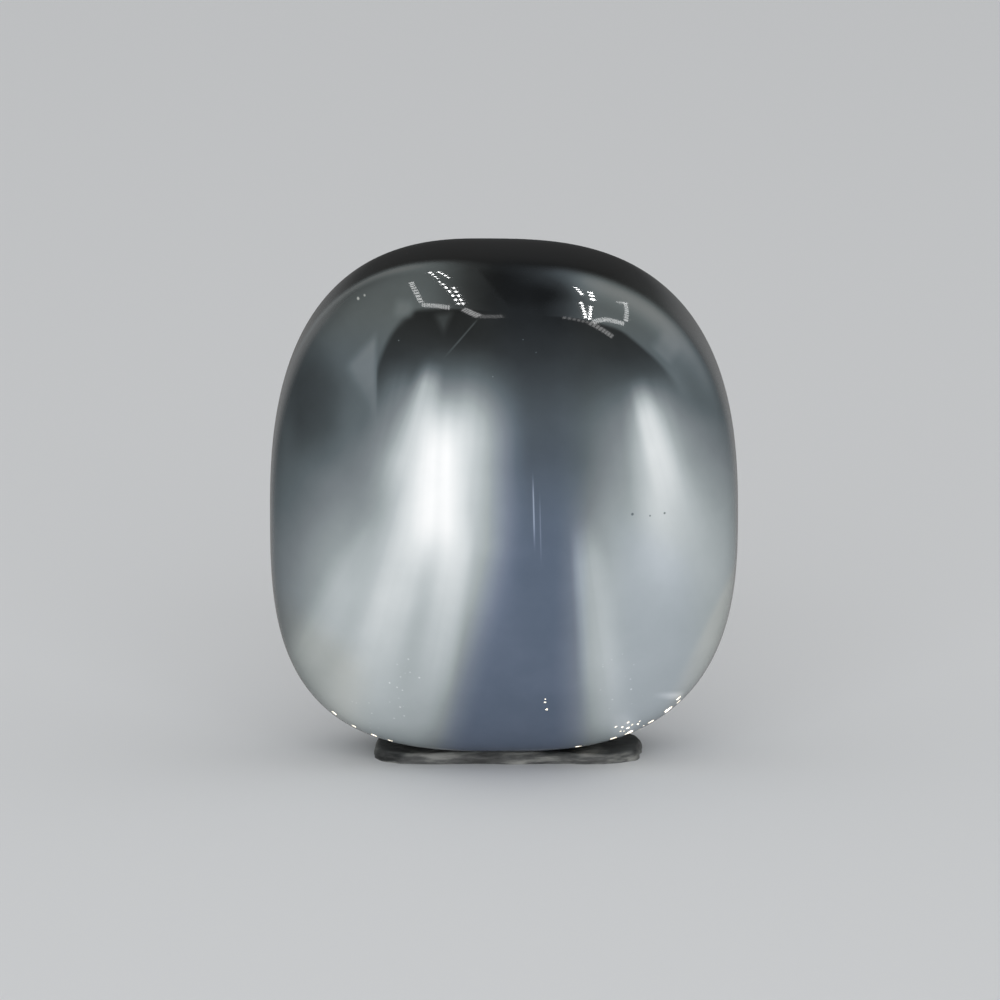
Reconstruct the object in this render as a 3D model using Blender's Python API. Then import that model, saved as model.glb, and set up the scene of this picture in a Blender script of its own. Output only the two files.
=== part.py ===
"""A polished moonstone, cut as a cushion cabochon, standing on a thin strip of clear putty.

Metres, +Z up. The origin is the centre of the putty's flat underside. The stone stands on its
lower edge with its front dome towards -Y, as a stone is set up to be looked at.
"""

import math

import bmesh
import bpy
from mathutils import Vector, noise

MM = 0.001

# The stone's outline, seen from the front, measured from its widest level
HALF_WIDTH = 5.5 * MM
CROWN_RISE = 6.3 * MM
BASE_DROP = 5.5 * MM
CROWN_LEAN = 0.65 * MM

# How square each corner of the outline is: 2 is an ellipse, more is squarer
FULLNESS_UPPER_LEFT = 2.3
FULLNESS_UPPER_RIGHT = 3.05
FULLNESS_LOWER_LEFT = 3.0
FULLNESS_LOWER_RIGHT = 2.7
FULLNESS_APEX = 2.0

# The stone's section, from the middle of its belt to the top of each dome
FRONT_RISE = 4.7 * MM
BACK_RISE = 3.6 * MM
BELT_REACH = 12.0 * MM
DOME_OVERSIZE = 1.12
SHOULDER_SHARPNESS = 60.0

STONE_COLUMNS = 72
STONE_RINGS = 42

# The putty strip, and how far the stone is pressed into it
PAD_WIDTH = 6.4 * MM
PAD_DEPTH = 3.2 * MM
PAD_THICKNESS = 0.30 * MM
PAD_SQUARENESS = 5.0
PAD_RIM_INSET = 0.08 * MM
PAD_RIM_DROP = 0.35
PAD_RIM_STEEPNESS = 8.0
PAD_WAIST_LEVEL = 0.5
PAD_LUMP_HEIGHT = 0.05 * MM
PAD_LUMP_SPACING = 0.9 * MM
PAD_COLUMNS = 26
PAD_ROWS = 14
PRESSED_THICKNESS = 0.17 * MM
SEAT_GAP = 0.05 * MM

# The middle of the stone's belt, as it stands on the strip
STONE_PLACE = Vector((-0.1 * MM, 0.4 * MM, PRESSED_THICKNESS + SEAT_GAP + BASE_DROP))

# Chips along the lower front edge: the turn around the outline in degrees, counted from +X
# towards the top, and the chip's width
EDGE_CHIPS = (
    (-48.5, 0.50 * MM),
    (-53.5, 0.34 * MM),
    (-59.0, 0.30 * MM),
    (-63.0, 0.42 * MM),
    (-71.5, 0.28 * MM),
    (-117.5, 0.28 * MM),
    (-121.5, 0.34 * MM),
    (-126.5, 0.26 * MM),
    (-132.0, 0.36 * MM),
)
CHIP_BALL_LEVEL = 2
CHIP_BITE = 0.30
CHIP_FLATNESS = 0.7
CHIP_STRETCH = 1.5

# A small angle, for directions along the surface
STEP = 0.02

# Colours, linear, with roughness
STONE_COLOUR = (0.33, 0.37, 0.41, 1.0)
STONE_ROUGHNESS = 0.06
PUTTY_COLOUR = (0.42, 0.43, 0.42, 1.0)
PUTTY_ROUGHNESS = 0.55


def clear_scene():
    """Remove what the start-up file holds."""
    for item in list(bpy.data.objects):
        bpy.data.objects.remove(item, do_unlink=True)


def new_collection(name):
    """Make a collection in the scene."""
    collection = bpy.data.collections.new(name)
    bpy.context.scene.collection.children.link(collection)
    return collection


def principled(name, colour, roughness):
    """A plain Principled material."""
    material = bpy.data.materials.new(name)
    material.use_nodes = True
    material.diffuse_color = colour
    shader = material.node_tree.nodes["Principled BSDF"]
    shader.inputs["Base Color"].default_value = colour
    shader.inputs["Roughness"].default_value = roughness
    shader.inputs["Metallic"].default_value = 0.0
    return material


def mesh_object(name, form, collection):
    """Turn a bmesh into a named object and free the bmesh."""
    mesh = bpy.data.meshes.new(name)
    form.to_mesh(mesh)
    form.free()
    item = bpy.data.objects.new(name, mesh)
    collection.objects.link(item)
    return item


def section(tip):
    """The stone's section at an angle from the front apex: share of the outline, and depth.

    Three ellipses in the section, for the belt's wall and the two domes, are rounded into each
    other where they cross, which leaves a soft shoulder at either side of the belt.
    """
    reach = math.sin(tip)
    depth = -math.cos(tip)
    rise = (FRONT_RISE if depth < 0.0 else BACK_RISE) / HALF_WIDTH
    wall = math.hypot(reach, depth * HALF_WIDTH / BELT_REACH)
    dome = math.hypot(reach / DOME_OVERSIZE, depth / rise)
    blend = wall ** SHOULDER_SHARPNESS + dome ** SHOULDER_SHARPNESS
    size = blend ** (-1.0 / SHOULDER_SHARPNESS)
    return reach * size, depth * size * HALF_WIDTH


def fullness(across, up):
    """How square the outline is in the corner that a direction points to."""
    if up > 0.0:
        return FULLNESS_UPPER_RIGHT if across > 0.0 else FULLNESS_UPPER_LEFT
    return FULLNESS_LOWER_RIGHT if across > 0.0 else FULLNESS_LOWER_LEFT


def outline(turn, share):
    """A point of the outline, shrunk to a share of it and rounder towards the apex."""
    across = math.cos(turn)
    up = math.sin(turn)
    rise = CROWN_RISE if up > 0.0 else BASE_DROP
    power = FULLNESS_APEX + (fullness(across, up) - FULLNESS_APEX) * share ** 2
    spread = abs(across / HALF_WIDTH) ** power + abs(up / rise) ** power
    radius = share * spread ** (-1.0 / power)
    height = radius * up
    lean = CROWN_LEAN * (max(height, 0.0) / CROWN_RISE) ** 2
    return radius * across - lean, height


def stone_point(turn, tip):
    """A point of the stone's surface, in the part's frame."""
    share, depth = section(tip)
    across, height = outline(turn, share)
    return STONE_PLACE + Vector((across, depth, height))


def shoulder_tip():
    """The angle from the front apex at which the belt's wall meets the front dome."""
    wall_gain = 1.0 - 1.0 / DOME_OVERSIZE ** 2
    dome_gain = (HALF_WIDTH / FRONT_RISE) ** 2 - (HALF_WIDTH / BELT_REACH) ** 2
    return math.atan2(1.0, math.sqrt(wall_gain / dome_gain))


def underside(place):
    """Height of the stone's lower surface above the floor, over a place on the strip."""
    beside = place.x - STONE_PLACE.x
    behind = place.y - STONE_PLACE.y
    power = fullness(beside, -1.0)
    bulge = math.sqrt(1.0 - (behind / BELT_REACH) ** 2)
    reach = min(abs(beside) / (HALF_WIDTH * bulge), 1.0)
    drop = BASE_DROP * bulge * (1.0 - reach ** power) ** (1.0 / power)
    return STONE_PLACE.z - drop


def chip_cutter(name, turn, width, collection):
    """A small flattened ball that bites a scoop out of the lower front shoulder."""
    tip = shoulder_tip()
    centre = stone_point(turn, tip)
    along = (stone_point(turn + STEP, tip) - stone_point(turn - STEP, tip)).normalized()
    inward = stone_point(turn, tip - STEP) - stone_point(turn, tip + STEP)
    outward = inward.cross(along).normalized()
    over = outward.cross(along)
    radius = width / 2.0
    form = bmesh.new()
    bmesh.ops.create_icosphere(form, subdivisions=CHIP_BALL_LEVEL, radius=radius)
    middle = centre + outward * radius * (CHIP_FLATNESS - CHIP_BITE)
    for vert in form.verts:
        x, y, z = vert.co
        vert.co = middle + along * x * CHIP_STRETCH + over * y + outward * z * CHIP_FLATNESS
    cutter = mesh_object(name, form, collection)
    cutter.hide_render = True
    cutter.display_type = "WIRE"
    return cutter


def build_stone(collection, cutters):
    """The stone: a ball whose rings are drawn out to the cushion's sections, with its chips cut."""
    form = bmesh.new()
    bmesh.ops.create_uvsphere(
        form, u_segments=STONE_COLUMNS, v_segments=STONE_RINGS, radius=1.0
    )
    for vert in form.verts:
        turn = math.atan2(vert.co.y, vert.co.x)
        tip = math.acos(max(-1.0, min(1.0, vert.co.z)))
        vert.co = stone_point(turn, tip)
    stone = mesh_object("moonstone_cabochon", form, collection)
    for number, (turn, width) in enumerate(EDGE_CHIPS, start=1):
        chip_cutter(f"chip_cutter_{number}", math.radians(turn), width, cutters)
    bite = stone.modifiers.new("edge_chips", "BOOLEAN")
    bite.operation = "DIFFERENCE"
    bite.operand_type = "COLLECTION"
    bite.collection = cutters
    bite.solver = "EXACT"
    stone.data.materials.append(
        principled("polished_moonstone", STONE_COLOUR, STONE_ROUGHNESS)
    )
    stone.data.shade_smooth()
    return stone


def pad_plan(across, depth, inset):
    """A place on the unit square, moved to the strip's plan with its corners rounded off."""
    reach = max(abs(across), abs(depth))
    power = PAD_SQUARENESS
    spread = (abs(across) ** power + abs(depth) ** power) ** (1.0 / power)
    shrink = reach / spread if spread > 0.0 else 0.0
    half_width = PAD_WIDTH / 2.0 - inset
    half_depth = PAD_DEPTH / 2.0 - inset
    return Vector((across * shrink * half_width, depth * shrink * half_depth, 0.0))


def shape_pad_top(form):
    """Give the strip's top its plan, its lumps, its soft rim and the seat pressed by the stone."""
    for vert in form.verts:
        share = max(abs(vert.co.x), abs(vert.co.y))
        place = pad_plan(vert.co.x, vert.co.y, PAD_RIM_INSET)
        lump = noise.noise(place / PAD_LUMP_SPACING) * PAD_LUMP_HEIGHT
        rim_drop = 1.0 - PAD_RIM_DROP * share ** PAD_RIM_STEEPNESS
        free_height = (PAD_THICKNESS + lump) * rim_drop
        place.z = min(free_height, underside(place) - SEAT_GAP)
        vert.co = place


def open_edges(form):
    """The edges that have a face on one side only."""
    return [edge for edge in form.edges if edge.is_boundary]


def build_pad(collection):
    """The putty strip: a flat slab with soft edges, pressed thin where the stone sits in it."""
    form = bmesh.new()
    bmesh.ops.create_grid(form, x_segments=PAD_COLUMNS, y_segments=PAD_ROWS, size=1.0)
    shape_pad_top(form)
    for level in (PAD_WAIST_LEVEL, 0.0):
        wall = bmesh.ops.extrude_edge_only(form, edges=open_edges(form))["geom"]
        for vert in (item for item in wall if isinstance(item, bmesh.types.BMVert)):
            if level > 0.0:
                vert.co.x *= PAD_WIDTH / (PAD_WIDTH - 2.0 * PAD_RIM_INSET)
                vert.co.y *= PAD_DEPTH / (PAD_DEPTH - 2.0 * PAD_RIM_INSET)
            vert.co.z *= level
    bmesh.ops.contextual_create(form, geom=open_edges(form))
    form.normal_update()
    bmesh.ops.recalc_face_normals(form, faces=form.faces)
    pad = mesh_object("putty_pad", form, collection)
    pad.data.materials.append(principled("clear_putty", PUTTY_COLOUR, PUTTY_ROUGHNESS))
    pad.data.shade_smooth()
    return pad


def build():
    """Model the stone and its pad."""
    clear_scene()
    parts = new_collection("moonstone_on_putty")
    cutters = new_collection("chip_cutters")
    build_stone(parts, cutters)
    build_pad(parts)


build()
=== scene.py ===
import math
import random

import bmesh
import bpy
from mathutils import Matrix, Vector, noise


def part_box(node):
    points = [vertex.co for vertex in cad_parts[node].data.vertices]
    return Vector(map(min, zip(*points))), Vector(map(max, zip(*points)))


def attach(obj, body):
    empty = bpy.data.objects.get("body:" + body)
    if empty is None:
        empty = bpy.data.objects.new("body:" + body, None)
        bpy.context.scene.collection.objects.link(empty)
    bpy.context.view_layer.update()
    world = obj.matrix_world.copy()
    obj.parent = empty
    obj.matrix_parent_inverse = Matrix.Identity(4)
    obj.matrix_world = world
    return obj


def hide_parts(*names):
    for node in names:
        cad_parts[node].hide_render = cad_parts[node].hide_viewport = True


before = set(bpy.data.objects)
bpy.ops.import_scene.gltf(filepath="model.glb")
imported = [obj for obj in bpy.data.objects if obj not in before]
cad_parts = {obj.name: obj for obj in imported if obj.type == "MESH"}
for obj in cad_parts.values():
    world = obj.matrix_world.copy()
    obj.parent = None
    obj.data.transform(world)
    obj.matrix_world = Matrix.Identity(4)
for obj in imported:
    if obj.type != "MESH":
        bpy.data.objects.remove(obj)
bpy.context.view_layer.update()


# The stone: one piece of milky orthoclase moonstone, ground to a cushion outline on a wheel, then
# domed on both faces and polished. A narrow belt runs round it between two soft shoulders.
MM = 0.001
stone_low, stone_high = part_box("moonstone_cabochon")
HALF_WIDTH = (stone_high.x - stone_low.x) / 2.0
CROWN_RISE = (stone_high.z - stone_low.z) * 6.3 / 11.8
BASE_DROP = (stone_high.z - stone_low.z) * 5.5 / 11.8
FRONT_RISE = (stone_high.y - stone_low.y) * 4.7 / 8.3
BACK_RISE = (stone_high.y - stone_low.y) * 3.6 / 8.3
CROWN_LEAN = 0.65 * MM
BELT_REACH = 12.0 * MM
DOME_OVERSIZE = 1.12
SHOULDER_SHARPNESS = 60.0
CORNER_FULLNESS = {"upper left": 2.3, "upper right": 3.05, "lower left": 3.0, "lower right": 2.7}
APEX_FULLNESS = 2.0
STONE_MIDDLE = Vector(
    (stone_low.x + HALF_WIDTH, stone_low.y + FRONT_RISE, stone_low.z + BASE_DROP)
)
STONE_COLUMNS = 320
STONE_RINGS = 200


def section(tip):
    """Share of the outline and depth of the stone's section, at an angle from the front apex."""
    reach = math.sin(tip)
    depth = -math.cos(tip)
    rise = (FRONT_RISE if depth < 0.0 else BACK_RISE) / HALF_WIDTH
    wall = math.hypot(reach, depth * HALF_WIDTH / BELT_REACH)
    dome = math.hypot(reach / DOME_OVERSIZE, depth / rise)
    blend = wall ** SHOULDER_SHARPNESS + dome ** SHOULDER_SHARPNESS
    size = blend ** (-1.0 / SHOULDER_SHARPNESS)
    return reach * size, depth * size * HALF_WIDTH


def corner_fullness(across, up):
    """How square the outline is in the corner that a direction points to."""
    row = "upper" if up > 0.0 else "lower"
    side = "right" if across > 0.0 else "left"
    return CORNER_FULLNESS[f"{row} {side}"]


def outline(turn, share):
    """A point of the outline, shrunk to a share of it and rounder towards the apex."""
    across = math.cos(turn)
    up = math.sin(turn)
    rise = CROWN_RISE if up > 0.0 else BASE_DROP
    power = APEX_FULLNESS + (corner_fullness(across, up) - APEX_FULLNESS) * share ** 2
    spread = abs(across / HALF_WIDTH) ** power + abs(up / rise) ** power
    radius = share * spread ** (-1.0 / power)
    height = radius * up
    lean = CROWN_LEAN * (max(height, 0.0) / CROWN_RISE) ** 2
    return radius * across - lean, height


def stone_point(turn, tip):
    """A point of the polished surface, by its turn round the outline and its angle from the apex."""
    share, depth = section(tip)
    across, height = outline(turn, share)
    return STONE_MIDDLE + Vector((across, depth, height))


def finished_piece(name, form, *materials):
    """Turn a bmesh into a smooth-shaded piece with its materials, and free the bmesh."""
    mesh = bpy.data.meshes.new(name)
    form.to_mesh(mesh)
    form.free()
    piece = bpy.data.objects.new(name, mesh)
    bpy.context.scene.collection.objects.link(piece)
    for material in materials:
        mesh.materials.append(material)
    mesh.shade_smooth()
    return piece


def linear(hex_colour):
    """An sRGB hex value as the linear colour that nodes take."""
    channels = [int(hex_colour[place:place + 2], 16) / 255.0 for place in (1, 3, 5)]
    return tuple(
        value / 12.92 if value <= 0.04045 else ((value + 0.055) / 1.055) ** 2.4
        for value in channels
    ) + (1.0,)


def add_node(tree, kind, inputs, stops=(), **settings):
    """Add a node with its settings, links and ramp stops, and return its first output in use."""
    node = tree.nodes.new(kind)
    for name, value in settings.items():
        setattr(node, name, value)
    for socket, value in inputs.items():
        if isinstance(value, bpy.types.NodeSocket):
            tree.links.new(value, node.inputs[socket])
        else:
            node.inputs[socket].default_value = value
    for number, (position, colour) in enumerate(stops):
        elements = node.color_ramp.elements
        stop = elements[number] if number < 2 else elements.new(position)
        stop.position = position
        stop.color = colour
    return next(output for output in node.outputs if output.enabled)


def new_material(name):
    """A material with an empty Principled shader, and its node tree and shader."""
    material = bpy.data.materials.new(name)
    material.use_nodes = True
    return material, material.node_tree, material.node_tree.nodes["Principled BSDF"]


# Every length in the milk is in mm from the stone's middle, across, in depth and up. The tones paint
# the stone's light and shade into its colour: 0 is clear stone painted dark, 1 is full painted glow.
# These are its tones by height on the flanks, painted lighter low down where the light gathers, in
# the dark column down the middle, and on the belt, painted dark near its top.
FLANK_TONES = ((-5.4, 0.60), (-4.4, 0.71), (-1.6, 0.68), (3.6, 0.37), (6.0, 0.34))
COLUMN_TONES = ((-5.2, 0.43), (-0.4, 0.40), (2.4, 0.32), (5.6, 0.12))
BELT_TONES = ((-5.4, 0.48), (0.0, 0.44), (4.9, 0.25), (6.2, 0.08))
TONE_BOTTOM = -6.5
TONE_TOP = 6.5

# The column's left and right sides: the width that each fades over, and how far it spreads for each
# mm below the middle
COLUMN_LEFT = (-0.95, 0.45)
COLUMN_LEFT_SPREAD = 0.24
COLUMN_RIGHT = (1.05, 2.60)
COLUMN_RIGHT_SPREAD = 0.01
CROWN_START = (2.6, 3.9)

# The ring of light inside the front shoulder, a painted highlight, which draws back towards the left
RING_DEPTH = -2.4
RING_DRAW = 0.30
RING_DRAW_START = -0.3
RING_WIDTH = 0.45
PAINTED_RING_HIGHLIGHT = 0.20

# Straight-sided zones of painted reflection and painted shade, which reflections off the inside of
# the back leave in the clear crown, as corners clockwise and the width that each side fades over;
# the patch low on the right lightens the stone there. The first three darken the column, and the
# others have a strength and a tone of their own.
DARK_CRESCENT = (
    (
        (-2.95, 1.50), (-2.95, 3.91), (-2.84, 4.28), (-2.54, 4.82), (-2.09, 5.22), (-1.21, 5.30),
        (0.10, 5.27), (1.30, 5.14), (2.00, 5.00), (2.70, 4.76), (3.24, 4.34), (3.72, 3.88),
        (4.50, 2.70), (4.60, 1.50),
    ),
    (0.05, 0.18, 0.20, 0.24, 0.16, 0.14, 0.16, 0.14, 0.12, 0.12, 0.14, 0.20, 0.30, 0.50),
)
DARK_TOP = (((-1.05, 4.60), (-0.95, 6.60), (1.55, 6.60), (1.50, 4.60)), (1.90, 0.20, 1.50, 0.60))
DARK_WEDGE = (((-0.56, 6.04), (1.60, 5.98), (1.30, 5.40), (0.09, 5.36)), (0.25, 0.70, 0.30, 0.12))
WEDGE_SHADE = (0.65, 0.09)
LOW_RIGHT_PATCH = (
    ((3.20, -4.90), (3.90, -3.62), (4.55, -2.40), (5.10, -0.90), (6.00, -0.90), (6.00, -4.90)),
    (0.26, 0.34, 0.46, 0.60, 0.60, 0.30),
)
CROWN_ZONES = (
    # Left hollow
    (
        ((-4.90, 1.90), (-5.00, 3.40), (-4.50, 4.20), (-3.70, 3.70), (-3.80, 1.90)),
        (0.50, 0.80, 0.90, 0.90, 1.60),
        0.50,
        0.21,
    ),
    # Left pane
    (
        ((-2.97, 3.10), (-3.42, 3.48), (-3.66, 3.92), (-2.97, 4.64)),
        (0.80, 0.36, 0.26, 0.18),
        0.72,
        0.50,
    ),
    # Bump at the left end of the dark crescent
    (((-2.55, 5.08), (-2.50, 5.42), (-2.12, 5.40), (-2.14, 5.08)), (0.22,) * 4, 0.65, 0.44),
    # Small greenish pane
    (((-1.60, 5.14), (-1.19, 5.20), (-1.40, 4.74)), (0.20, 0.20, 0.20), 0.60, 0.30),
    # Bump at the right end of the dark crescent
    (((3.42, 4.34), (3.72, 4.66), (4.10, 4.28), (3.84, 3.94)), (0.30, 0.30, 0.30, 0.14), 0.60, 0.47),
    # Painted shade in the upper right corner
    (((4.10, 2.90), (4.30, 4.50), (5.60, 4.00), (5.60, 2.40)), (0.60, 0.40, 0.40, 0.70), 0.60, 0.29),
    LOW_RIGHT_PATCH + (0.65, 0.74),
)

# Each fan of light painted into the colour, with the painted glows round the chips and the crown
# scratch and hairlines drawn the same way: the head and tail of its middle line; its half width at
# each; the share of it over which the left and right sides fade; the shares of its length over which
# it rises and dies away; and its strength
PAINTED_FANS_AND_HAIRLINES = {
    "left glow": ((-0.80, 4.75), (-1.85, -3.20), 1.50, 2.60, 0.95, 0.95, 0.30, 0.70, 0.74),
    "left core": ((-1.50, 3.60), (-1.68, -0.95), 0.60, 1.12, 0.90, 0.72, 0.36, 0.34, 0.86),
    "left upper streak": ((-1.62, 4.25), (-2.60, 0.40), 0.32, 1.05, 0.90, 0.90, 0.18, 0.40, 0.46),
    "left upper haze": ((-2.30, 4.30), (-3.15, 0.20), 0.50, 0.95, 0.90, 0.90, 0.20, 0.50, 0.18),
    "left outer fan": ((-2.30, 1.60), (-5.30, -4.20), 0.50, 0.80, 0.90, 0.90, 0.40, 0.20, 0.19),
    "left middle fan": ((-1.80, 2.10), (-3.50, -4.70), 0.70, 1.05, 0.90, 0.80, 0.22, 0.50, 0.38),
    "left inner fan": ((-0.98, 1.00), (-1.95, -4.80), 0.50, 0.70, 0.90, 0.50, 0.22, 0.45, 0.26),
    "left low haze": ((-2.60, -0.20), (-4.20, -6.00), 1.10, 1.90, 0.95, 0.95, 0.40, 0.30, 0.11),
    "right streak": ((3.05, 3.80), (4.15, 0.20), 0.28, 0.65, 0.75, 0.90, 0.27, 0.55, 0.50),
    "right glow": ((3.20, 3.90), (4.30, -1.90), 0.60, 1.35, 0.80, 0.95, 0.22, 0.65, 0.42),
    "right haze": ((3.00, 4.30), (4.60, -2.60), 1.60, 2.60, 0.95, 0.95, 0.32, 0.55, 0.34),
    "right inner fan": ((1.85, 0.75), (2.65, -5.60), 0.42, 0.86, 0.50, 0.95, 0.20, 0.50, 0.27),
    "glow of the edge chips": ((2.65, -4.15), (3.05, -5.30), 0.35, 0.60, 0.95, 0.95, 0.5, 0.4, 0.32),
    "glow of the wedge chip": ((3.40, -3.86), (4.25, -4.02), 0.10, 0.20, 0.95, 0.95, 0.7, 0.2, 0.50),
    "crown scratch": ((-0.55, 5.12), (-1.45, 4.15), 0.030, 0.035, 0.80, 0.80, 0.20, 0.50, 0.15),
    "hairline": ((0.66, 1.75), (0.71, -0.25), 0.025, 0.032, 0.80, 0.80, 0.35, 0.45, 0.40),
    "second hairline": ((0.82, 1.35), (0.86, -0.60), 0.020, 0.030, 0.80, 0.80, 0.40, 0.45, 0.16),
}
FAN_RAYS = 2.2
FAN_RAY_RANGE = (0.86, 1.0)
FRONT_START = (1.8, -2.0)
BACK_SHARE = 0.45
ZONE_END = (0.6, -1.8)
BACK_START = (-0.4, 2.6)
BACK_TONE = 0.36

# Specks under the polish: a place across and up, a radius and a tone
SPECKS = (
    ((2.97, 0.62), 0.045, 0.42), ((3.38, 0.55), 0.030, 0.50), ((3.72, 0.58), 0.035, 0.48),
    ((-3.39, 5.38), 0.045, 0.72), ((-3.24, 5.46), 0.035, 0.66), ((-2.44, 4.56), 0.020, 0.45),
    ((-0.26, 3.82), 0.020, 0.50), ((0.44, 4.62), 0.018, 0.40), ((0.74, 4.34), 0.018, 0.38),
)
SILK_ZONES = (
    (
        ((-3.60, -4.70), (-3.40, -3.60), (-2.00, -2.60), (-1.75, -3.20), (-2.30, -4.70)),
        (0.50, 0.50, 0.40, 0.50, 0.40),
    ),
    (((2.20, -4.10), (2.25, -2.70), (3.10, -2.60), (3.25, -4.10)), (0.40,) * 4),
)
SILK_SPACING = 0.13
CLOUD_SPACING = 1.6
CLOUD_RANGE = (-0.016, 0.016)
WAVE_SPACING = 0.55
WAVE_HEIGHT = 0.0002 * MM

# The milk's colour at each tone, the slate blue of the column, and the warm grey of the belt
MILK_COLOURS = (
    (0.00, "#000000"), (0.10, "#17191a"), (0.20, "#303436"), (0.30, "#474e51"),
    (0.40, "#5e676b"), (0.50, "#787f83"), (0.62, "#969ea0"), (0.75, "#b9c0c2"),
    (0.88, "#dee2e3"), (1.00, "#ffffff"),
)
SLATE_TINT = (0.93, 0.99, 1.27, 1.0)
SLATE_START = (0.35, 1.0)
COOL_ZONE = (((2.60, -5.20), (2.60, 0.60), (4.40, -0.60), (4.60, -5.20)), (1.0,) * 4, 0.15)
WARM_TINT = (1.06, 1.00, 0.92, 1.0)
WARM_ZONES = (
    (((-8.00, 4.60), (-8.00, 9.00), (8.00, 9.00), (8.00, 4.60)), (0.50, 0.50, 0.50, 1.40), 1.0),
    LOW_RIGHT_PATCH + (0.6,),
    (((-6.00, -5.40), (-6.00, -1.20), (-3.30, -2.90), (-3.40, -5.40)), (1.00,) * 4, 0.6),
)


def height_tones(tree, height, tones):
    """The milk's tone by height."""
    share = add_node(
        tree, "ShaderNodeMapRange", {"Value": height, "From Min": TONE_BOTTOM, "From Max": TONE_TOP}
    )
    reach = TONE_TOP - TONE_BOTTOM
    stops = [((up - TONE_BOTTOM) / reach, (tone, tone, tone, 1.0)) for up, tone in tones]
    ramp = add_node(tree, "ShaderNodeValToRGB", {"Fac": share}, stops)
    ramp.node.color_ramp.interpolation = "EASE"
    return ramp


def soft_zone(tree, place, corners, fades, strength=1.0):
    """How far a place lies inside a straight-sided zone: its strength inside, 0 past a side."""
    inside = strength
    for start, end, fade in zip(corners, corners[1:] + corners[:1], fades):
        inward = Vector((end[1] - start[1], start[0] - end[0])).normalized()
        side = inward.dot(Vector(start))
        reach = add_node(
            tree,
            "ShaderNodeVectorMath",
            {0: place, 1: (inward.x, 0.0, inward.y)},
            operation="DOT_PRODUCT",
        )
        inside = add_node(
            tree,
            "ShaderNodeMapRange",
            {
                "Value": reach,
                "From Min": side - fade / 2.0,
                "From Max": side + fade / 2.0,
                "To Max": inside,
            },
            interpolation_type="SMOOTHSTEP",
        )
    return inside


def painted_light_fan(tree, place, fan, number):
    """How brightly one painted fan of light, or a mark drawn like one, shows at a place, with faint
    rays along it.
    """
    head, tail, width, end_width, soft_left, soft_right, rise, fade, strength = fan
    run = Vector(tail) - Vector(head)
    local = add_node(
        tree,
        "ShaderNodeMapping",
        {
            "Vector": place,
            "Location": (head[0], 0.0, head[1]),
            "Rotation": (0.0, math.atan2(-run.x, -run.y), 0.0),
            "Scale": (1.0, 1.0, -run.length),
        },
        vector_type="TEXTURE",
    )
    parts = add_node(tree, "ShaderNodeSeparateXYZ", {"Vector": local}).node.outputs
    down = parts["Z"]
    reach = add_node(
        tree, "ShaderNodeMath", {0: down, 1: end_width - width, 2: width}, operation="MULTIPLY_ADD"
    )
    aside = add_node(tree, "ShaderNodeMath", {0: parts["X"], 1: reach}, operation="DIVIDE")
    spread = add_node(
        tree, "ShaderNodeMath", {0: aside, 1: FAN_RAYS, 2: 7.0 * number}, operation="MULTIPLY_ADD"
    )
    rays = add_node(
        tree, "ShaderNodeTexNoise", {"W": spread, "Scale": 1.0, "Detail": 2.0}, noise_dimensions="1D"
    )
    light = add_node(
        tree,
        "ShaderNodeMapRange",
        {
            "Value": rays,
            "From Min": 0.3,
            "From Max": 0.7,
            "To Min": strength * FAN_RAY_RANGE[0],
            "To Max": strength * FAN_RAY_RANGE[1],
        },
    )
    for value, dark, bright in (
        (aside, -1.0, soft_left - 1.0),
        (aside, 1.0, 1.0 - soft_right),
        (down, 0.0, rise),
        (down, 1.0, 1.0 - fade),
    ):
        light = add_node(
            tree,
            "ShaderNodeMapRange",
            {"Value": value, "From Min": dark, "From Max": bright, "To Max": light},
            interpolation_type="SMOOTHSTEP",
        )
    return light


def milk_with_painted_darks(tree, place, across, height):
    """The stone's tones without its fans: pale flanks, a dark column and a clear crown painted dark.
    """
    flanks = height_tones(tree, height, FLANK_TONES)
    column = height_tones(tree, height, COLUMN_TONES)
    below = add_node(tree, "ShaderNodeMath", {0: height, 1: 0.0}, operation="MINIMUM")
    sides = 1.0
    for (outer, inner), spread in (
        (COLUMN_LEFT, -COLUMN_LEFT_SPREAD),
        (COLUMN_RIGHT[::-1], COLUMN_RIGHT_SPREAD),
    ):
        beside = add_node(
            tree, "ShaderNodeMath", {0: below, 1: spread, 2: across}, operation="MULTIPLY_ADD"
        )
        sides = add_node(
            tree,
            "ShaderNodeMapRange",
            {"Value": beside, "From Min": outer, "From Max": inner, "To Max": sides},
            interpolation_type="SMOOTHSTEP",
        )
    dark = add_node(
        tree,
        "ShaderNodeMath",
        {0: soft_zone(tree, place, *DARK_CRESCENT), 1: soft_zone(tree, place, *DARK_TOP)},
        operation="MAXIMUM",
    )
    crown = add_node(
        tree,
        "ShaderNodeMapRange",
        {"Value": height, "From Min": CROWN_START[0], "From Max": CROWN_START[1]},
        interpolation_type="SMOOTHSTEP",
    )
    in_column = add_node(tree, "ShaderNodeMix", {"Factor": crown, "A": sides, "B": dark})
    tone = add_node(tree, "ShaderNodeMix", {"Factor": in_column, "A": flanks, "B": column})
    strength, wedge_tone = WEDGE_SHADE
    wedge = soft_zone(tree, place, *DARK_WEDGE, strength)
    tone = add_node(tree, "ShaderNodeMix", {"Factor": wedge, "A": tone, "B": wedge_tone})
    return tone, sides


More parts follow.
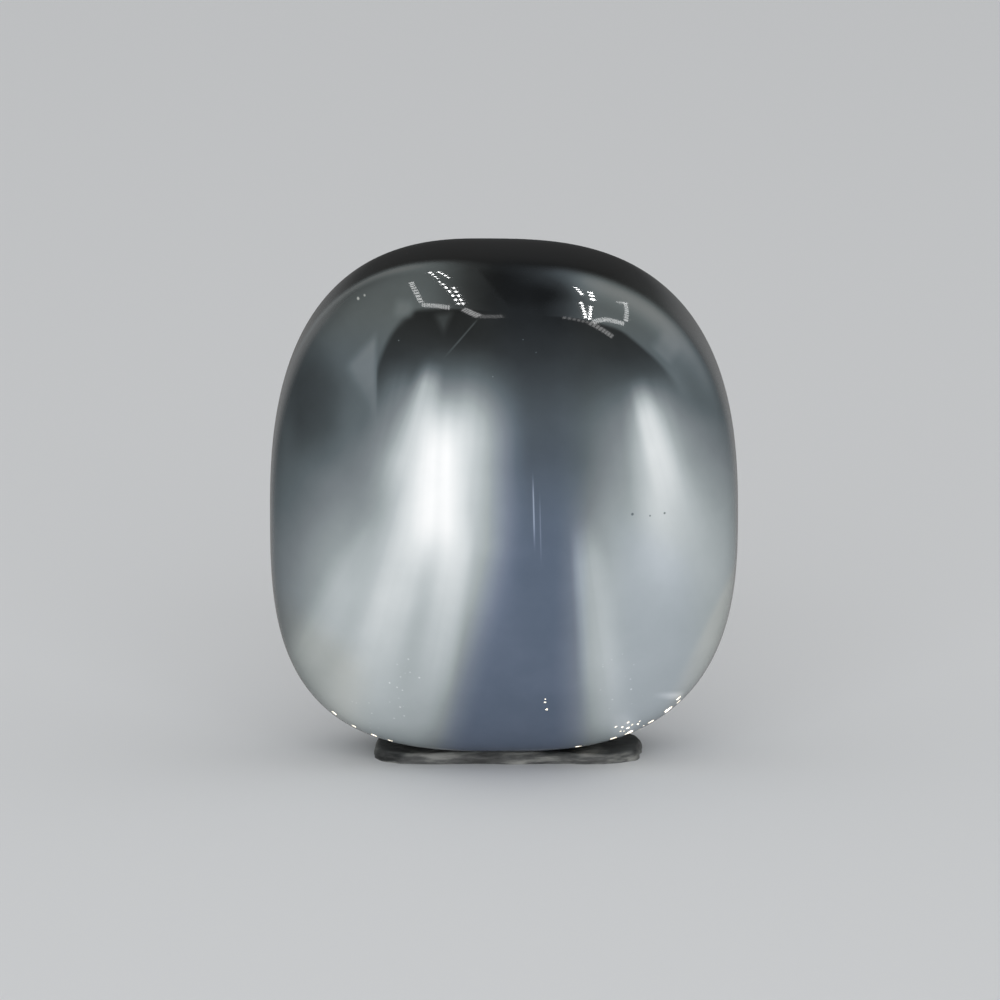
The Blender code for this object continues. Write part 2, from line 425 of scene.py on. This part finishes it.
def polished_moonstone():
    """Moonstone, a feldspar whose fine layers scatter light to a milky blue-white, with a glassy
    polish. Light from above enters the crown and spreads down through the milk in soft fans. The
    fans, the glows, the highlights and the dark of the clear crown are all painted into its colour."""
    material, tree, shader = new_material("polished_moonstone")
    coordinates = add_node(tree, "ShaderNodeTexCoord", {}).node.outputs["Object"]
    place = add_node(
        tree,
        "ShaderNodeMapping",
        {"Vector": coordinates, "Location": STONE_MIDDLE, "Scale": (MM, MM, MM)},
        vector_type="TEXTURE",
    )
    parts = add_node(tree, "ShaderNodeSeparateXYZ", {"Vector": place}).node.outputs
    across, depth, height = parts["X"], parts["Y"], parts["Z"]
    flat = add_node(tree, "ShaderNodeCombineXYZ", {"X": across, "Z": height})
    before = add_node(
        tree,
        "ShaderNodeMapRange",
        {"Value": depth, "From Min": ZONE_END[0], "From Max": ZONE_END[1]},
        interpolation_type="SMOOTHSTEP",
    )
    tone, in_column = milk_with_painted_darks(tree, flat, across, height)
    for corners, fades, strength, zone_tone in CROWN_ZONES:
        share = soft_zone(tree, flat, corners, fades, strength)
        share = add_node(tree, "ShaderNodeMath", {0: share, 1: before}, operation="MULTIPLY")
        tone = add_node(tree, "ShaderNodeMix", {"Factor": share, "A": tone, "B": zone_tone})

    # The belt, painted dark near its top, and the painted highlight of the ring of light inside it
    draw = add_node(
        tree,
        "ShaderNodeMath",
        {0: across, 1: -RING_DRAW, 2: RING_DRAW * RING_DRAW_START},
        operation="MULTIPLY_ADD",
    )
    draw = add_node(tree, "ShaderNodeMath", {0: draw, 1: 0.0}, operation="MAXIMUM")
    behind = add_node(tree, "ShaderNodeMath", {0: depth, 1: draw}, operation="SUBTRACT")
    behind = add_node(tree, "ShaderNodeMath", {0: behind, 1: RING_DEPTH}, operation="SUBTRACT")
    crown = add_node(
        tree,
        "ShaderNodeMapRange",
        {"Value": height, "From Min": 2.0, "From Max": 4.5},
        interpolation_type="SMOOTHSTEP",
    )
    on_belt = add_node(
        tree,
        "ShaderNodeMapRange",
        {"Value": behind, "From Min": 0.05, "From Max": 0.6, "To Max": crown},
        interpolation_type="SMOOTHSTEP",
    )
    belt = height_tones(tree, height, BELT_TONES)
    tone = add_node(tree, "ShaderNodeMix", {"Factor": on_belt, "A": tone, "B": belt})
    beside = add_node(tree, "ShaderNodeMath", {0: across, 1: 0.4}, operation="ADD")
    beside = add_node(tree, "ShaderNodeMath", {0: beside}, operation="ABSOLUTE")
    glow = add_node(
        tree,
        "ShaderNodeMapRange",
        {"Value": beside, "From Min": 0.3, "From Max": 2.2, "To Max": PAINTED_RING_HIGHLIGHT},
        interpolation_type="SMOOTHSTEP",
    )
    glow = add_node(tree, "ShaderNodeMath", {0: glow, 1: crown}, operation="MULTIPLY")
    beside = add_node(tree, "ShaderNodeMath", {0: behind}, operation="ABSOLUTE")
    ring = add_node(
        tree,
        "ShaderNodeMapRange",
        {"Value": beside, "From Min": RING_WIDTH, "From Max": 0.0, "To Max": glow},
        interpolation_type="SMOOTHSTEP",
    )
    tone = add_node(tree, "ShaderNodeMix", {"Factor": ring, "A": tone, "B": 1.0})

    # The back, which is never quite clear
    back = add_node(
        tree,
        "ShaderNodeMapRange",
        {
            "Value": depth,
            "From Min": BACK_START[0],
            "From Max": BACK_START[1],
            "To Max": BACK_TONE,
        },
        interpolation_type="SMOOTHSTEP",
    )
    tone = add_node(tree, "ShaderNodeMath", {0: tone, 1: back}, operation="MAXIMUM")

    # Painted shade on the left edge, which turns away from the light
    shade = add_node(
        tree,
        "ShaderNodeMapRange",
        {"Value": across, "From Min": -3.6, "From Max": -5.5, "To Max": 0.30},
        interpolation_type="SMOOTHSTEP",
    )
    tone = add_node(tree, "ShaderNodeMix", {"Factor": shade, "A": tone, "B": 0.0})

    # The painted fans of light, which are strongest near the front
    front = add_node(
        tree,
        "ShaderNodeMapRange",
        {
            "Value": depth,
            "From Min": FRONT_START[0],
            "From Max": FRONT_START[1],
            "To Min": BACK_SHARE,
        },
        interpolation_type="SMOOTHSTEP",
    )
    for number, fan in enumerate(PAINTED_FANS_AND_HAIRLINES.values()):
        light = painted_light_fan(tree, flat, fan, number)
        light = add_node(tree, "ShaderNodeMath", {0: light, 1: front}, operation="MULTIPLY")
        tone = add_node(tree, "ShaderNodeMix", {"Factor": light, "A": tone, "B": 1.0})

    # Faint clouds, silk and specks
    cloud = add_node(
        tree,
        "ShaderNodeTexNoise",
        {"Vector": place, "Scale": 1.0 / CLOUD_SPACING, "Detail": 4.0, "Roughness": 0.55},
    )
    cloud = add_node(
        tree,
        "ShaderNodeMapRange",
        {
            "Value": cloud,
            "From Min": 0.3,
            "From Max": 0.7,
            "To Min": CLOUD_RANGE[0],
            "To Max": CLOUD_RANGE[1],
        },
    )
    tone = add_node(tree, "ShaderNodeMath", {0: tone, 1: cloud}, operation="ADD")
    silk = add_node(tree, "ShaderNodeTexVoronoi", {"Vector": place, "Scale": 1.0 / SILK_SPACING})
    rare = add_node(
        tree,
        "ShaderNodeMapRange",
        {"Value": silk.node.outputs["Color"], "From Min": 0.60, "From Max": 0.80, "To Max": 0.50},
    )
    for corners, fades in SILK_ZONES:
        share = soft_zone(tree, flat, corners, fades)
        share = add_node(tree, "ShaderNodeMath", {0: share, 1: rare}, operation="MULTIPLY")
        share = add_node(
            tree,
            "ShaderNodeMapRange",
            {"Value": silk, "From Min": 0.26, "From Max": 0.10, "To Max": share},
            interpolation_type="SMOOTHSTEP",
        )
        tone = add_node(tree, "ShaderNodeMix", {"Factor": share, "A": tone, "B": 1.0})
    for (side, up), radius, speck_tone in SPECKS:
        gap = add_node(
            tree, "ShaderNodeVectorMath", {0: flat, 1: (side, 0.0, up)}, operation="DISTANCE"
        )
        share = add_node(
            tree,
            "ShaderNodeMapRange",
            {"Value": gap, "From Min": radius, "From Max": 0.3 * radius, "To Max": front},
            interpolation_type="SMOOTHSTEP",
        )
        tone = add_node(tree, "ShaderNodeMix", {"Factor": share, "A": tone, "B": speck_tone})

    # Colour, and the slight waves that hand polishing leaves
    stops = [(tone_place, linear(colour)) for tone_place, colour in MILK_COLOURS]
    colour = add_node(tree, "ShaderNodeValToRGB", {"Fac": tone}, stops)
    slate = add_node(
        tree,
        "ShaderNodeMapRange",
        {"Value": height, "From Min": 4.4, "From Max": -0.5, "To Min": 0.15, "To Max": 1.0},
        interpolation_type="SMOOTHSTEP",
    )
    slate = add_node(
        tree,
        "ShaderNodeMapRange",
        {
            "Value": in_column,
            "From Min": SLATE_START[0],
            "From Max": SLATE_START[1],
            "To Max": slate,
        },
    )
    cool = soft_zone(tree, flat, *COOL_ZONE)
    slate = add_node(tree, "ShaderNodeMath", {0: slate, 1: cool}, operation="MAXIMUM")
    warm = 0.0
    for corners, fades, strength in WARM_ZONES:
        share = soft_zone(tree, flat, corners, fades, strength)
        warm = add_node(tree, "ShaderNodeMath", {0: share, 1: warm}, operation="MAXIMUM")
    warm = add_node(
        tree,
        "ShaderNodeMapRange",
        {"Value": in_column, "From Min": 1.0, "From Max": 0.0, "To Max": warm},
    )
    warm = add_node(tree, "ShaderNodeMath", {0: warm, 1: before}, operation="MULTIPLY")
    for share, tint in ((slate, SLATE_TINT), (warm, WARM_TINT)):
        colour = add_node(
            tree,
            "ShaderNodeMix",
            {"Factor": share, "A": colour, "B": tint},
            data_type="RGBA",
            blend_type="MULTIPLY",
        )
    tree.links.new(colour, shader.inputs["Base Color"])
    waves = add_node(
        tree, "ShaderNodeTexNoise", {"Vector": place, "Scale": 1.0 / WAVE_SPACING, "Detail": 1.0}
    )
    bump = add_node(tree, "ShaderNodeBump", {"Height": waves, "Distance": WAVE_HEIGHT})
    tree.links.new(bump, shader.inputs["Normal"])
    shader.inputs["Roughness"].default_value = 0.04
    shader.inputs["IOR"].default_value = 1.52
    return material


stone_form = bmesh.new()
bmesh.ops.create_uvsphere(
    stone_form, u_segments=STONE_COLUMNS, v_segments=STONE_RINGS, radius=1.0
)
for vert in stone_form.verts:
    vert.co = stone_point(
        math.atan2(vert.co.y, vert.co.x), math.acos(max(-1.0, min(1.0, vert.co.z)))
    )
stone = finished_piece("moonstone", stone_form, polished_moonstone())


# The chips: small scoops knocked out of the stone's lower front shoulder when it was handled, with
# a few finer nicks beside them. Freshly broken feldspar is bright, hackly and warm white.
EDGE_CHIPS = (
    (-48.5, 0.22), (-53.5, 0.13), (-59.0, 0.20), (-63.0, 0.18), (-71.5, 0.12), (-117.5, 0.10),
    (-121.5, 0.13), (-126.5, 0.10), (-132.0, 0.12),
)
NICK_GROUPS = (
    (-124.0, 7.0, 71.5, 1.5, 9, 0.08),
    (-58.5, 3.5, 67.0, 5.0, 40, 0.10),
    (-46.0, 1.6, 67.5, 1.4, 9, 0.11),
    (-70.0, 3.0, 72.0, 0.8, 5, 0.07),
    (-73.5, 4.0, 49.0, 2.5, 4, 0.06),
)
NICK_WIDTH = 0.03
CHIP_BITE = 0.30
CHIP_FLATNESS = 0.7
CHIP_STRETCH = 1.4
CHIP_ROUGHNESS = 0.28
CHIP_GAP = 0.005 * MM
SHARP_ANGLE = math.radians(22.0)


def shoulder_tip():
    """The angle from the front apex at which the belt's wall meets the front dome."""
    wall_gain = 1.0 - 1.0 / DOME_OVERSIZE ** 2
    dome_gain = (HALF_WIDTH / FRONT_RISE) ** 2 - (HALF_WIDTH / BELT_REACH) ** 2
    return math.atan2(1.0, math.sqrt(wall_gain / dome_gain))


def add_chip(form, turn, tip, width, dice, taken, step=0.01):
    """Add a small flattened, roughened ball that bites a scoop out of the surface, if it is free."""
    centre = stone_point(turn, tip)
    radius = width / 2.0
    reach = radius * CHIP_STRETCH * (1.0 + CHIP_ROUGHNESS) + CHIP_GAP
    if any((centre - other).length < reach + other_reach for other, other_reach in taken):
        return
    taken.append((centre, reach))
    along = (stone_point(turn + step, tip) - stone_point(turn - step, tip)).normalized()
    inward = stone_point(turn, tip - step) - stone_point(turn, tip + step)
    outward = inward.cross(along).normalized()
    over = outward.cross(along)
    middle = centre + outward * radius * (CHIP_FLATNESS - CHIP_BITE)
    ball = bmesh.ops.create_icosphere(form, subdivisions=2, radius=radius)["verts"]
    for vert in ball:
        x, y, z = vert.co * (1.0 + dice.uniform(-CHIP_ROUGHNESS, CHIP_ROUGHNESS))
        vert.co = middle + along * x * CHIP_STRETCH + over * y + outward * z * CHIP_FLATNESS


def fresh_break_with_painted_glints():
    """Broken feldspar, pearly and much brighter than the polish round it: the glints of its tiny
    cleavage faces are painted in as a faint glow of their own."""
    material, tree, shader = new_material("fresh_break_with_painted_glints")
    coordinates = add_node(tree, "ShaderNodeTexCoord", {}).node.outputs["Object"]
    grain = add_node(
        tree,
        "ShaderNodeTexNoise",
        {"Vector": coordinates, "Scale": 1.0 / (0.08 * MM), "Detail": 2.0},
    )
    colour = add_node(
        tree,
        "ShaderNodeValToRGB",
        {"Fac": grain},
        [(0.30, linear("#b9b3a4")), (0.55, linear("#fffaf0"))],
    )
    tree.links.new(colour, shader.inputs["Base Color"])
    # Painted light: the chips' glints are a faint glow in the break's own colour
    tree.links.new(colour, shader.inputs["Emission Color"])
    shader.inputs["Emission Strength"].default_value = 0.8
    shader.inputs["Roughness"].default_value = 0.30
    shader.inputs["IOR"].default_value = 1.52
    return material


chip_dice = random.Random(7)
chip_places = []
chip_form = bmesh.new()
for turn, width in EDGE_CHIPS:
    add_chip(chip_form, math.radians(turn), shoulder_tip(), width * MM, chip_dice, chip_places)
for turn, turn_spread, tip, tip_spread, count, greatest_width in NICK_GROUPS:
    for nick in range(count):
        add_chip(
            chip_form,
            math.radians(turn + chip_dice.uniform(-turn_spread, turn_spread)),
            math.radians(tip + chip_dice.uniform(-tip_spread, tip_spread)),
            chip_dice.uniform(NICK_WIDTH, greatest_width) * MM,
            chip_dice,
            chip_places,
        )
chips = finished_piece("chips", chip_form, fresh_break_with_painted_glints())
bite = stone.modifiers.new("edge_chips", "BOOLEAN")
bite.operation = "DIFFERENCE"
bite.object = chips
bite.solver = "EXACT"
bite.material_mode = "TRANSFER"
chipped = bpy.data.meshes.new_from_object(
    stone.evaluated_get(bpy.context.evaluated_depsgraph_get())
)
stone.modifiers.clear()
stone.data = chipped
bpy.data.objects.remove(chips, do_unlink=True)
chipped.shade_smooth()
chipped.set_sharp_from_angle(angle=SHARP_ANGLE)
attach(stone, "root")
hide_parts("moonstone_cabochon")


# The strip of putty: a clear, slightly tacky putty, pressed flat by hand on the shelf. The stone is
# pushed into it, so it is thinnest under the stone and stands up in a soft lip round it.
pad_low, pad_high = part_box("putty_pad")
PAD_HALF_WIDTH = (pad_high.x - pad_low.x) / 2.0
PAD_HALF_DEPTH = (pad_high.y - pad_low.y) / 2.0
PAD_THICKNESS = 0.235 * MM
PAD_SQUARENESS = 5.0
PAD_EDGE_ROUNDING = 0.15 * MM
PAD_EDGE_LEVELS = 6
PAD_WANDERS = ((1.1 * MM, 0.09 * MM), (0.30 * MM, 0.035 * MM))
PAD_LUMPS = ((0.9 * MM, 0.035 * MM), (0.35 * MM, 0.018 * MM), (0.13 * MM, 0.007 * MM))
PAD_LIP_RISE = 0.05 * MM
PAD_LIP_WIDTH = 0.12 * MM
PAD_COLUMNS = 200
PAD_ROWS = 100
PAD_OVERLAP = 0.01 * MM
PAD_SHARP_ANGLE = math.radians(60.0)


def underside(place):
    """Height of the stone's lower surface above the floor, over a place on the strip."""
    beside = place.x - STONE_MIDDLE.x
    behind = place.y - STONE_MIDDLE.y
    power = corner_fullness(beside, -1.0)
    bulge = math.sqrt(1.0 - (behind / BELT_REACH) ** 2)
    reach = min(abs(beside) / (HALF_WIDTH * bulge), 1.0)
    return STONE_MIDDLE.z - BASE_DROP * bulge * (1.0 - reach ** power) ** (1.0 / power)


def pad_plan(across, depth):
    """A place on the unit square, moved to the strip's plan with round corners and a wavy edge."""
    reach = max(abs(across), abs(depth))
    power = PAD_SQUARENESS
    spread = (abs(across) ** power + abs(depth) ** power) ** (1.0 / power)
    shrink = reach / spread if spread > 0.0 else 0.0
    place = Vector((across * shrink * PAD_HALF_WIDTH, depth * shrink * PAD_HALF_DEPTH, 0.0))
    inset = PAD_EDGE_ROUNDING + sum(
        width * (0.5 + noise.noise(place / spacing)) for spacing, width in PAD_WANDERS
    ) * reach ** 4
    place.x *= 1.0 - inset / PAD_HALF_WIDTH
    place.y *= 1.0 - inset / PAD_HALF_DEPTH
    return place


def pad_top(place, share):
    """Height of the strip's top at a place, with its lumps and the lip squeezed up by the stone."""
    lump = sum(noise.noise(place / spacing) * height for spacing, height in PAD_LUMPS)
    free = PAD_THICKNESS + lump * (1.0 - 0.5 * share ** 8)
    stone_height = underside(place)
    gap = (stone_height - free) / PAD_LIP_WIDTH
    return min(free + PAD_LIP_RISE * math.exp(-gap * gap), stone_height + PAD_OVERLAP)


def clear_putty():
    """Reusable clear putty: a soft gum, frosty where it was handled, streaked where it was pulled,
    with dust pressed into it. Its patchy grey is partly painted shade, darker than the clear putty
    would show here."""
    material, tree, shader = new_material("clear_putty")
    coordinates = add_node(tree, "ShaderNodeTexCoord", {}).node.outputs["Object"]
    pulled = add_node(
        tree,
        "ShaderNodeMapping",
        {"Vector": coordinates, "Scale": (1.0 / (1.1 * MM), 1.0 / (0.8 * MM), 1.0 / (0.16 * MM))},
    )
    patches = add_node(
        tree, "ShaderNodeTexNoise", {"Vector": pulled, "Scale": 1.0, "Detail": 5.0, "Roughness": 0.6}
    )
    # Patchy greys, partly painted shade
    colour = add_node(
        tree,
        "ShaderNodeValToRGB",
        {"Fac": patches},
        [(0.36, linear("#3c3e3e")), (0.50, linear("#6a6c6b")), (0.64, linear("#b4b5b1"))],
    )
    frost = add_node(
        tree,
        "ShaderNodeMapRange",
        {"Value": patches, "From Min": 0.35, "From Max": 0.65, "To Min": 0.35, "To Max": 0.6},
    )
    tree.links.new(colour, shader.inputs["Base Color"])
    tree.links.new(frost, shader.inputs["Roughness"])
    shader.inputs["Transmission Weight"].default_value = 0.45
    shader.inputs["IOR"].default_value = 1.5
    return material


pad_form = bmesh.new()
bmesh.ops.create_grid(pad_form, x_segments=PAD_COLUMNS, y_segments=PAD_ROWS, size=1.0)
for vert in pad_form.verts:
    share = max(abs(vert.co.x), abs(vert.co.y))
    vert.co = pad_plan(vert.co.x, vert.co.y)
    vert.co.z = pad_top(vert.co, share)
edge = [side for side in pad_form.edges if side.is_boundary]
level_turn = math.pi / 2.0 / PAD_EDGE_LEVELS
for level in range(PAD_EDGE_LEVELS):
    wall = bmesh.ops.extrude_edge_only(pad_form, edges=edge)["geom"]
    edge = [item for item in wall if isinstance(item, bmesh.types.BMEdge) and item.is_boundary]
    turn = level * level_turn
    grow = PAD_EDGE_ROUNDING * (math.sin(turn + level_turn) - math.sin(turn))
    drop = math.cos(turn + level_turn) / math.cos(turn) if level < PAD_EDGE_LEVELS - 1 else 0.0
    for vert in (item for item in wall if isinstance(item, bmesh.types.BMVert)):
        vert.co.x *= 1.0 + grow / PAD_HALF_WIDTH
        vert.co.y *= 1.0 + grow / PAD_HALF_DEPTH
        vert.co.z *= drop
bmesh.ops.contextual_create(pad_form, geom=edge)
pad_form.normal_update()
bmesh.ops.recalc_face_normals(pad_form, faces=pad_form.faces)
pad = finished_piece("putty_strip", pad_form, clear_putty())
pad.data.set_sharp_from_angle(angle=PAD_SHARP_ANGLE)
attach(pad, "root")
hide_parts("putty_pad")


# The camera: a long macro lens ten degrees above the shelf, square on to the stone's front. The
# stone's middle sits a little right of and below the picture's middle.
ELEVATION = math.radians(10.0)
CAMERA_DISTANCE = 250.0 * MM
PIXEL = 11.08 * MM / 471.0
PICTURE = 1000
STONE_PIXEL = (504.0, 509.6)
aim = STONE_MIDDLE + Vector(
    (
        (PICTURE / 2 - STONE_PIXEL[0]) * PIXEL,
        0.0,
        (STONE_PIXEL[1] - PICTURE / 2) * PIXEL / math.cos(ELEVATION),
    )
)
back = Vector((0.0, -math.cos(ELEVATION), math.sin(ELEVATION)))
camera = bpy.data.objects.new("camera", bpy.data.cameras.new("camera"))
bpy.context.scene.collection.objects.link(camera)
camera.location = aim + back * CAMERA_DISTANCE
camera.rotation_euler = (-back).to_track_quat("-Z", "Y").to_euler()
camera.data.sensor_width = 36.0
camera.data.lens = camera.data.sensor_width * CAMERA_DISTANCE / (PICTURE * PIXEL)
camera.data.clip_start = 0.01
camera.data.clip_end = 5.0
bpy.context.scene.camera = camera


# The floor: a wide plain sheet of pale matt card.
FLOOR_REACH = 2.0
FLOOR_COLOUR = "#e2e4e6"
card, _, card_shader = new_material("matt_card")
card_shader.inputs["Base Color"].default_value = linear(FLOOR_COLOUR)
card_shader.inputs["Roughness"].default_value = 0.8
floor_form = bmesh.new()
bmesh.ops.create_grid(floor_form, x_segments=1, y_segments=1, size=FLOOR_REACH)
floor = finished_piece("floor", floor_form, card)
floor.visible_glossy = False


# The lights: a soft even sky and a big soft panel in front, and a ceiling of small lamps in two
# pairs of rows with a thin bright frame. The polish shows the ceiling, and the sky only faintly.
SKY_STRENGTH = 0.62
SKY_IN_POLISH = (0.05, 0.22)
SKY_BEHIND = (0.50, 1.00)
SKY_LEVEL = -0.17
SKY_SIDE_SPREAD = 0.12
PANEL_GLARE = 3.31
PANEL_REACH = 600.0 * MM
PANEL_SIZE = 500.0 * MM
PANEL_HEIGHT = 0.25
CEILING_HEIGHT = 600.0 * MM
LAMP_SHARE = 0.42
LAMP_GLARE = 75.0
LAMP_ROWS = (
    ((-0.205, 0.48), (-0.172, -0.01), 4, 1.7, 6.5),
    ((-0.170, -0.07), (-0.108, -0.455), 7, 1.3, 6.5),
    ((-0.160, 0.40), (-0.111, -0.03), 4, 1.3, 6.5),
    ((-0.110, -0.22), (-0.086, -0.455), 5, 1.2, 6.5),
    ((0.270, -0.11), (0.335, -0.26), 4, 1.0, 11.0),
    ((0.340, -0.36), (0.430, -0.55), 6, 1.0, 11.0),
    ((0.365, -0.15), (0.415, -0.33), 3, 1.0, 20.0),
    ((0.414, -0.39), (0.457, -0.56), 6, 1.0, 11.0),
)
RIB_SHARE = 0.60
FRAME_ROWS = (
    ((-0.336, 0.06), (-0.338, -0.42), 9, 1.3, 20.0, 9.0),
    ((-0.340, -0.44), (-0.165, -0.48), 12, 1.0, 26.0, 9.0),
    ((-0.095, -0.49), (-0.025, -0.56), 7, 1.0, 26.0, 8.0),
    ((-0.025, -0.56), (0.025, -0.55), 7, 1.0, 18.0, 2.5),
    ((0.580, -0.18), (0.670, -0.05), 5, 1.0, 18.0, 7.0),
    ((0.640, -0.10), (0.750, -0.46), 9, 1.0, 22.0, 9.0),
    ((0.490, -0.57), (0.560, -0.51), 6, 1.0, 26.0, 10.0),
    ((0.560, -0.51), (0.750, -0.49), 11, 1.0, 26.0, 10.0),
    ((0.280, -0.555), (0.470, -0.585), 6, 1.0, 12.0, 2.5),
    ((0.470, -0.585), (0.730, -0.700), 8, 1.0, 24.0, 4.0),
)

world = bpy.data.worlds.new("studio")
world.use_nodes = True
sky = world.node_tree
facing = add_node(sky, "ShaderNodeTexCoord", {}).node.outputs["Generated"]
facing = add_node(sky, "ShaderNodeSeparateXYZ", {"Vector": facing}).node.outputs
aside = add_node(sky, "ShaderNodeMath", {0: facing["X"]}, operation="ABSOLUTE")
aside = add_node(sky, "ShaderNodeMath", {0: aside, 1: facing["Z"]}, operation="SUBTRACT")
beside = add_node(
    sky,
    "ShaderNodeMapRange",
    {
        "Value": aside,
        "From Min": -SKY_LEVEL - SKY_SIDE_SPREAD,
        "From Max": -SKY_LEVEL + SKY_SIDE_SPREAD,
        "To Min": SKY_IN_POLISH[0],
        "To Max": SKY_IN_POLISH[1],
    },
    interpolation_type="SMOOTHSTEP",
)
in_polish = add_node(
    sky,
    "ShaderNodeMapRange",
    {
        "Value": facing["Y"],
        "From Min": SKY_BEHIND[0],
        "From Max": SKY_BEHIND[1],
        "To Min": SKY_IN_POLISH[0],
        "To Max": beside,
    },
    interpolation_type="SMOOTHSTEP",
)
polish_ray = add_node(sky, "ShaderNodeLightPath", {}).node.outputs["Is Glossy Ray"]
strength = add_node(
    sky, "ShaderNodeMix", {"Factor": polish_ray, "A": SKY_STRENGTH, "B": in_polish}
)
sky.nodes["Background"].inputs["Color"].default_value = (1.0, 1.0, 1.0, 1.0)
sky.links.new(strength, sky.nodes["Background"].inputs["Strength"])
bpy.context.scene.world = world


def studio_lamp(name, first, last, shape, width, glare, shows_in_polish):
    """A flat lamp between two places that faces the stone, and lights it or shows in its polish."""
    length = (last - first).length
    lamp = bpy.data.lights.new(name, "AREA")
    lamp.shape = shape
    lamp.size = length
    lamp.size_y = width
    lamp.energy = glare * math.pi * length * width * (math.pi / 4.0 if shape == "ELLIPSE" else 1.0)
    item = bpy.data.objects.new(name, lamp)
    bpy.context.scene.collection.objects.link(item)
    middle = (first + last) / 2.0
    away = (middle - STONE_MIDDLE).normalized()
    side = (last - first).normalized()
    over = away.cross(side).normalized()
    turned = Matrix((over.cross(away), over, away)).transposed().to_4x4()
    item.matrix_world = Matrix.Translation(middle) @ turned
    item.visible_camera = False
    item.visible_glossy = shows_in_polish
    item.visible_diffuse = not shows_in_polish
    item.visible_transmission = not shows_in_polish


def ceiling_row(name, row, shape, lit_share, glare):
    """A row of lamps on the ceiling, between spots given in ceiling heights from the stone."""
    start, end, count, crowding, width = row
    first = STONE_MIDDLE + Vector((start[0], start[1], 1.0)) * CEILING_HEIGHT
    last = STONE_MIDDLE + Vector((end[0], end[1], 1.0)) * CEILING_HEIGHT
    shares = [1.0 - (1.0 - number / count) ** crowding for number in range(count + 1)]
    for number, (share, next_share) in enumerate(zip(shares, shares[1:])):
        near = first.lerp(last, share)
        far = first.lerp(last, share + lit_share * (next_share - share))
        studio_lamp(f"{name}_{number}", near, far, shape, width * MM, glare, True)


panel_middle = STONE_MIDDLE + Vector((0.0, -1.0, PANEL_HEIGHT)).normalized() * PANEL_REACH
panel_side = Vector((PANEL_SIZE / 2.0, 0.0, 0.0))
studio_lamp(
    "front_panel",
    panel_middle - panel_side,
    panel_middle + panel_side,
    "RECTANGLE",
    PANEL_SIZE,
    PANEL_GLARE,
    False,
)
for number, row in enumerate(LAMP_ROWS):
    ceiling_row(f"lamps_{number}", row, "ELLIPSE", LAMP_SHARE, LAMP_GLARE)
for number, row in enumerate(FRAME_ROWS):
    ceiling_row(f"frame_{number}", row[:5], "RECTANGLE", RIB_SHARE, row[5])

bpy.context.scene.view_settings.view_transform = "Standard"
